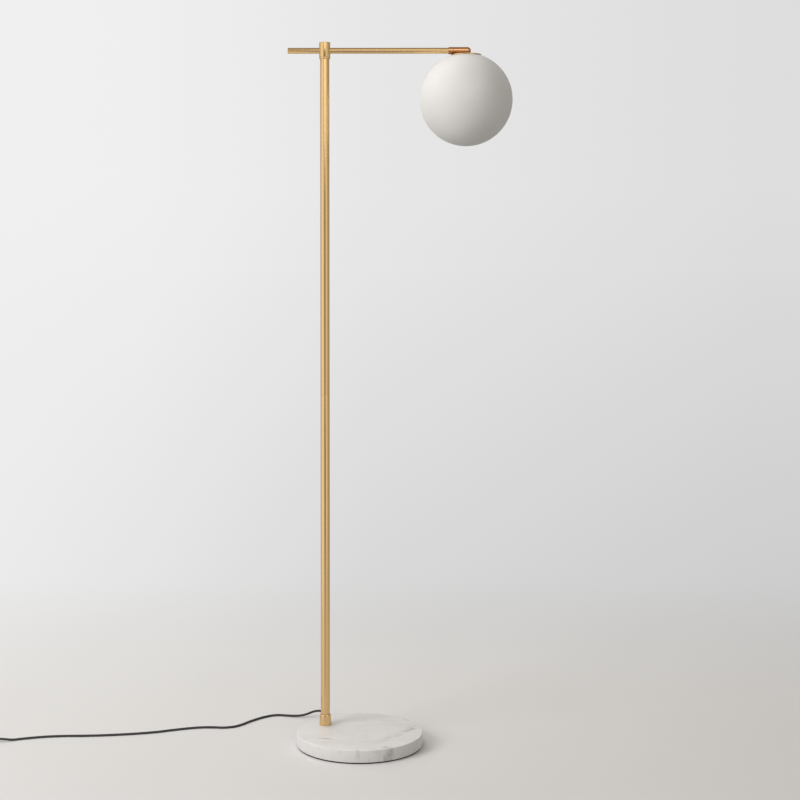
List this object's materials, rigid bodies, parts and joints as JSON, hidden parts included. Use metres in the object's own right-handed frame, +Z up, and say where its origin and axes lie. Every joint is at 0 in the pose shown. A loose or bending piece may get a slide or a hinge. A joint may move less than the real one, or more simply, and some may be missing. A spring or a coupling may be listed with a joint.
{
  "type": "globe shade floor lamp",
  "caption": "Floor lamp with a satin brass pole and turning arm on a round white marble foot, carrying an opal glass globe, with a dark mains lead and foot switch.",
  "frame": {"origin": "on the floor, at the centre of the underside of the round foot", "axes": "+Z up, +X the direction the arm points at rest, from the pole towards the globe, +Y away from the viewer of the picture"},
  "size_m": [1.3142, 0.3481, 1.518],
  "materials": {
    "satin_brass": "satin, light golden tone",
    "copper_brass": "polished, warmer copper tone",
    "plain_brass": "turned, unfinished",
    "plated_steel": "zinc or nickel plated",
    "marble": "honed white marble with soft grey veins",
    "floor_pad": "matte",
    "opal_glass": "matte opal white",
    "opal_plastic": "matte opal white",
    "white_plastic": "matte",
    "holder_ceramic": "glazed",
    "clear_rubber": "pale silicone",
    "lead_sheath": "satin charcoal sheath",
    "dark_plastic": "fine matte texture",
    "dark_button": "gloss"
  },
  "bodies": {
    "lamp_foot": {"base_pad": "floor_pad", "marble_base": "marble", "base_washer": "plated_steel", "base_nut": "plated_steel", "base_rod": "plated_steel", "foot_collar": "satin_brass", "foot_insert": "plain_brass", "lower_pole": "satin_brass", "upper_pole": "satin_brass", "coupler_socket": "plain_brass", "coupler_stud": "plain_brass", "swivel_bush": "satin_brass", "pole_lead": "lead_sheath", "cord_relief": "lead_sheath", "cord_run": "lead_sheath", "switch_base": "dark_plastic", "switch_cover": "dark_plastic", "switch_block": "white_plastic", "switch_screws": "plated_steel", "switch_relief_lamp": "lead_sheath", "switch_relief_plug": "lead_sheath", "cord_tail": "lead_sheath", "cord_coil": "lead_sheath", "plug_cord": "lead_sheath", "plug_body": "dark_plastic", "plug_blades": "plain_brass"},
    "lamp_head": {"swivel_stem": "plated_steel", "thrust_washer": "white_plastic", "stop_washer": "plated_steel", "spring_washer": "plated_steel", "stem_nut": "plated_steel", "hub": "satin_brass", "hub_screw": "plated_steel", "arm_tube": "satin_brass", "arm_cap": "satin_brass", "end_ring": "copper_brass", "end_fitting": "copper_brass", "fitter_nipple": "plated_steel", "globe_cap": "satin_brass", "cap_seal": "clear_rubber", "globe_springs": "plated_steel", "fitter_nut": "plated_steel", "lamp_holder": "holder_ceramic", "holder_shell": "plain_brass", "holder_contact": "plain_brass", "bulb_cap": "plated_steel", "bulb_collar": "white_plastic", "bulb_dome": "opal_plastic", "glass_globe": "opal_glass", "arm_lead": "lead_sheath"},
    "foot_button": {"switch_button": "dark_button"}
  },
  "joints": [
    {"name": "arm_swivel", "type": "hinge", "parent": "lamp_foot", "child": "lamp_head", "pos_m": [-0.0755, 0.0474, 1.5], "axis": [0, 0, 1], "range_deg": [-165, 165]},
    {"name": "switch_press", "type": "slide", "parent": "lamp_foot", "child": "foot_button", "axis": [0, 0, -1], "range_m": [0, 0.003], "stiffness_N_per_m": 700, "springref_m": -0.001}
  ]
}
